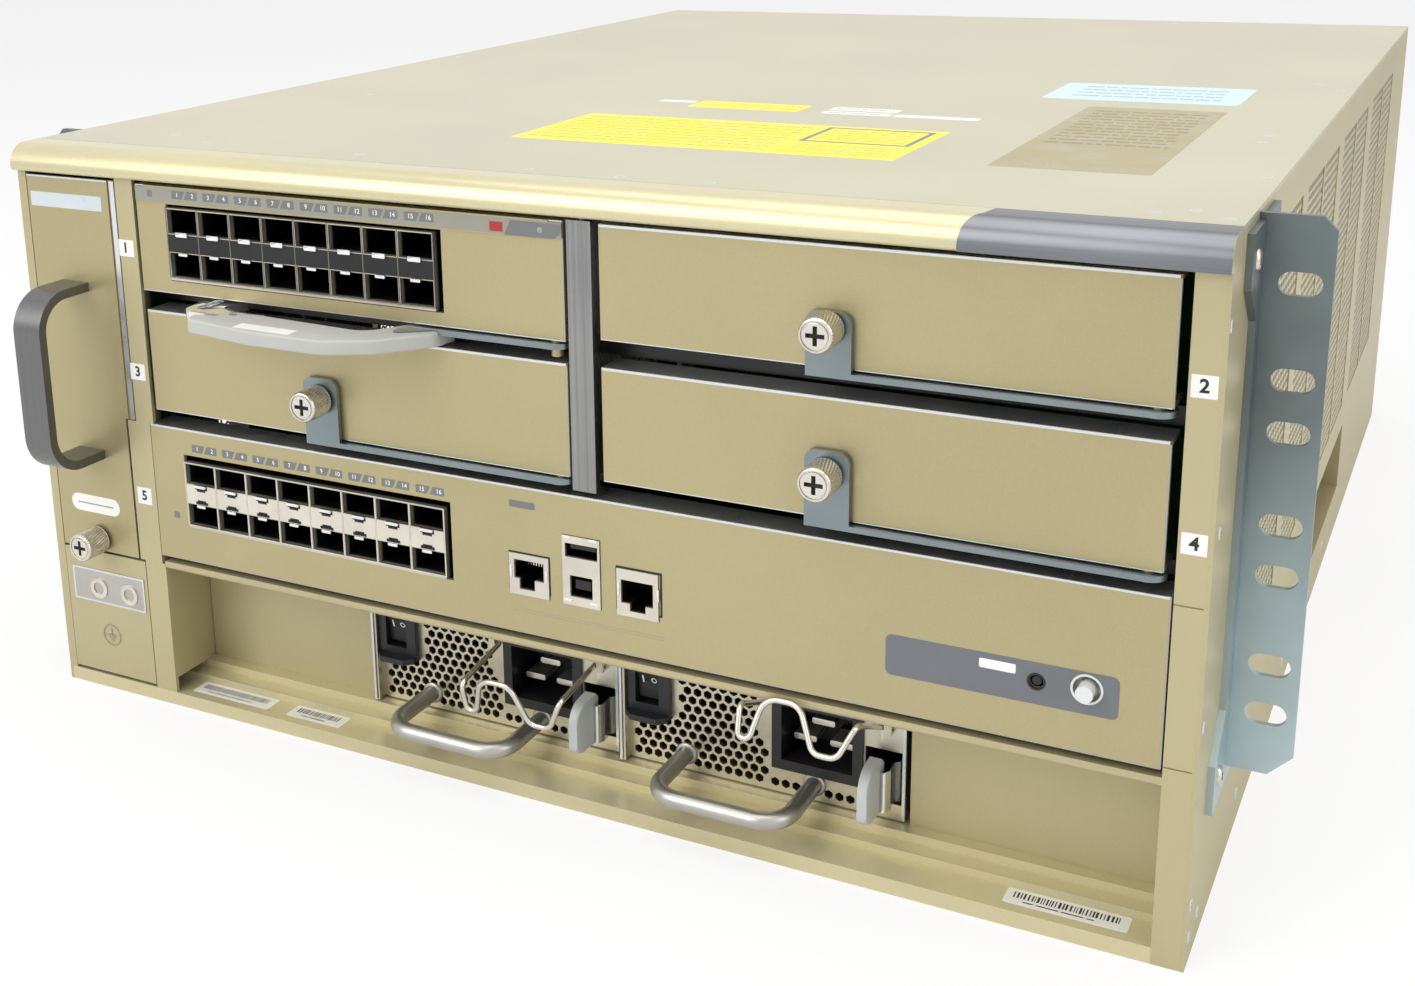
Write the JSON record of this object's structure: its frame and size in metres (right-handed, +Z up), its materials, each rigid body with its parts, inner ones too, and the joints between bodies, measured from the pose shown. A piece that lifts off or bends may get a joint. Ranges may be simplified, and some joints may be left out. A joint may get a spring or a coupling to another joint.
{
  "type": "modular chassis network switch",
  "caption": "Rack chassis switch with a side fan tray, stacked card slots with ejector levers, a fixed supervisor row and plug-in power supplies.",
  "frame": {"origin": "centre of the chassis underside", "axes": "+Z up, -Y out of the front, +X to the right seen from the front"},
  "size_m": [0.4826, 0.6092, 0.2215],
  "materials": {
    "chassis_paint": "satin metallic beige",
    "panel_paint": "satin metallic beige",
    "gold_trim": "satin champagne",
    "steel_post": "brushed",
    "zinc": "blue zinc plated",
    "bright_steel": "bright nickel",
    "cage_metal": "tin plated",
    "board_green": "solder mask",
    "black_plastic": "matte",
    "handle_grey": "brushed dark grey",
    "pale_plastic": "satin",
    "tray_metal": "satin sheet",
    "white_button": "gloss"
  },
  "bodies": {
    "chassis": {"base_tray": "chassis_paint", "left_side_panel": "chassis_paint", "right_side_panel": "chassis_paint", "top_cover": "chassis_paint", "rear_panel": "chassis_paint", "front_bezel": "gold_trim", "left_cage_wall": "panel_paint", "right_cage_wall": "panel_paint", "center_divider": "steel_post", "psu_deck": "chassis_paint", "ground_panel": "chassis_paint", "psu_blanks": "chassis_paint", "midplane": "board_green", "rack_bracket_left": "zinc", "rack_bracket_right": "zinc", "bracket_screws": "zinc", "supervisor_faceplate": "panel_paint", "supervisor_board": "board_green", "supervisor_cages": "cage_metal", "service_jacks": "cage_metal"},
    "reset_button": {"reset_button": "black_plastic"},
    "locator_button": {"locator_button": "white_button"},
    "fan_tray": {"fan_tray": "panel_paint", "fan_tray_handle": "handle_grey", "fan_frames": "black_plastic"},
    "fan_tray_screw": {"fan_tray_screw": "bright_steel"},
    "port_card": {"port_card_faceplate": "panel_paint", "port_card_board": "board_green", "port_card_cages": "cage_metal"},
    "port_card_lever": {"port_card_lever": "zinc", "port_card_lever_grip": "pale_plastic"},
    "port_card_latch": {"port_card_latch": "bright_steel"},
    "fan_rotor_1": {"fan_rotor_1": "black_plastic"},
    "fan_rotor_2": {"fan_rotor_2": "black_plastic"},
    "fan_rotor_3": {"fan_rotor_3": "black_plastic"},
    "slot_2_blank": {"slot_2_blank": "panel_paint"},
    "slot_2_lever": {"slot_2_lever": "zinc"},
    "slot_2_screw": {"slot_2_screw": "bright_steel"},
    "slot_3_blank": {"slot_3_blank": "panel_paint"},
    "slot_3_lever": {"slot_3_lever": "zinc"},
    "slot_3_screw": {"slot_3_screw": "bright_steel"},
    "slot_4_blank": {"slot_4_blank": "panel_paint"},
    "slot_4_lever": {"slot_4_lever": "zinc"},
    "slot_4_screw": {"slot_4_screw": "bright_steel"},
    "psu_1": {"psu_1_case": "tray_metal", "psu_1_face": "tray_metal", "psu_1_inlet": "black_plastic", "psu_1_switch": "black_plastic", "psu_1_handle": "handle_grey"},
    "psu_1_rocker": {"psu_1_rocker": "black_plastic"},
    "psu_1_bail": {"psu_1_bail": "bright_steel"},
    "psu_1_latch": {"psu_1_latch": "pale_plastic"},
    "psu_2": {"psu_2_case": "tray_metal", "psu_2_face": "tray_metal", "psu_2_inlet": "black_plastic", "psu_2_switch": "black_plastic", "psu_2_handle": "handle_grey"},
    "psu_2_rocker": {"psu_2_rocker": "black_plastic"},
    "psu_2_bail": {"psu_2_bail": "bright_steel"},
    "psu_2_latch": {"psu_2_latch": "pale_plastic"}
  },
  "joints": [
    {"name": "reset_press", "type": "slide", "parent": "chassis", "child": "reset_button", "axis": [0, 1, 0], "range_m": [0, 0.001], "stiffness_N_per_m": 400, "springref_m": -0.001},
    {"name": "locator_press", "type": "slide", "parent": "chassis", "child": "locator_button", "axis": [0, 1, 0], "range_m": [0, 0.0015], "stiffness_N_per_m": 400, "springref_m": -0.001},
    {"name": "fan_tray_slide", "type": "slide", "parent": "chassis", "child": "fan_tray", "axis": [0, -1, 0], "range_m": [0, 0.39]},
    {"name": "fan_tray_screw_turn", "type": "hinge", "parent": "fan_tray", "child": "fan_tray_screw", "pos_m": [-0.196, -0.2905, 0.0653], "axis": [0, -1, 0], "continuous": true},
    {"name": "fan_1_spin", "type": "hinge", "parent": "fan_tray", "child": "fan_rotor_1", "pos_m": [-0.194, -0.2105, 0.135], "axis": [1, 0, 0], "continuous": true},
    {"name": "fan_2_spin", "type": "hinge", "parent": "fan_tray", "child": "fan_rotor_2", "pos_m": [-0.194, -0.0855, 0.135], "axis": [1, 0, 0], "continuous": true},
    {"name": "fan_3_spin", "type": "hinge", "parent": "fan_tray", "child": "fan_rotor_3", "pos_m": [-0.194, 0.0395, 0.135], "axis": [1, 0, 0], "continuous": true},
    {"name": "port_card_slide", "type": "slide", "parent": "chassis", "child": "port_card", "axis": [0, -1, 0], "range_m": [0, 0.28]},
    {"name": "port_card_lever_swing", "type": "hinge", "parent": "port_card", "child": "port_card_lever", "pos_m": [0.0131, -0.288, 0.1683], "axis": [0, 0, 1], "range_deg": [0, 45]},
    {"name": "port_card_latch_press", "type": "hinge", "parent": "port_card_lever", "child": "port_card_latch", "pos_m": [-0.11, -0.3019, 0.166], "axis": [0, 0, 1], "range_deg": [0, 5], "stiffness_Nm_per_rad": 0.5, "springref_deg": -5.73},
    {"name": "slot_2_blank_slide", "type": "slide", "parent": "chassis", "child": "slot_2_blank", "axis": [0, -1, 0], "range_m": [0, 0.03]},
    {"name": "slot_2_lever_swing", "type": "hinge", "parent": "slot_2_blank", "child": "slot_2_lever", "pos_m": [0.2031, -0.288, 0.1705], "axis": [0, 0, 1], "range_deg": [0, 60]},
    {"name": "slot_2_screw_turn", "type": "hinge", "parent": "slot_2_lever", "child": "slot_2_screw", "pos_m": [0.1084, -0.2955, 0.1852], "axis": [0, -1, 0], "continuous": true},
    {"name": "slot_3_blank_slide", "type": "slide", "parent": "chassis", "child": "slot_3_blank", "axis": [0, -1, 0], "range_m": [0, 0.03]},
    {"name": "slot_3_lever_swing", "type": "hinge", "parent": "slot_3_blank", "child": "slot_3_lever", "pos_m": [0.0135, -0.288, 0.122], "axis": [0, 0, 1], "range_deg": [0, 60]},
    {"name": "slot_3_screw_turn", "type": "hinge", "parent": "slot_3_lever", "child": "slot_3_screw", "pos_m": [-0.0812, -0.2955, 0.1384], "axis": [0, -1, 0], "continuous": true},
    {"name": "slot_4_blank_slide", "type": "slide", "parent": "chassis", "child": "slot_4_blank", "axis": [0, -1, 0], "range_m": [0, 0.03]},
    {"name": "slot_4_lever_swing", "type": "hinge", "parent": "slot_4_blank", "child": "slot_4_lever", "pos_m": [0.2031, -0.288, 0.1225], "axis": [0, 0, 1], "range_deg": [0, 60]},
    {"name": "slot_4_screw_turn", "type": "hinge", "parent": "slot_4_lever", "child": "slot_4_screw", "pos_m": [0.1084, -0.2955, 0.1392], "axis": [0, -1, 0], "continuous": true},
    {"name": "psu_1_slide", "type": "slide", "parent": "chassis", "child": "psu_1", "axis": [0, -1, 0], "range_m": [0, 0.28]},
    {"name": "psu_1_rocker_tip", "type": "hinge", "parent": "psu_1", "child": "psu_1_rocker", "pos_m": [-0.0715, -0.2635, 0.0432], "axis": [-1, 0, 0], "range_deg": [0, 24]},
    {"name": "psu_1_bail_swing", "type": "hinge", "parent": "psu_1", "child": "psu_1_bail", "pos_m": [-0.00575, -0.269, 0.046], "axis": [-1, 0, 0], "range_deg": [0, 33]},
    {"name": "psu_1_latch_press", "type": "hinge", "parent": "psu_1", "child": "psu_1_latch", "pos_m": [0.0157, -0.2305, 0.025], "axis": [0, 0, -1], "range_deg": [0, 3], "stiffness_Nm_per_rad": 3, "springref_deg": -2.86},
    {"name": "psu_2_slide", "type": "slide", "parent": "chassis", "child": "psu_2", "axis": [0, -1, 0], "range_m": [0, 0.28]},
    {"name": "psu_2_rocker_tip", "type": "hinge", "parent": "psu_2", "child": "psu_2_rocker", "pos_m": [0.034, -0.2635, 0.0432], "axis": [-1, 0, 0], "range_deg": [0, 24]},
    {"name": "psu_2_bail_swing", "type": "hinge", "parent": "psu_2", "child": "psu_2_bail", "pos_m": [0.09975, -0.269, 0.046], "axis": [-1, 0, 0], "range_deg": [-33, 0]},
    {"name": "psu_2_latch_press", "type": "hinge", "parent": "psu_2", "child": "psu_2_latch", "pos_m": [0.1212, -0.2305, 0.025], "axis": [0, 0, -1], "range_deg": [0, 3], "stiffness_Nm_per_rad": 3, "springref_deg": -2.86}
  ]
}
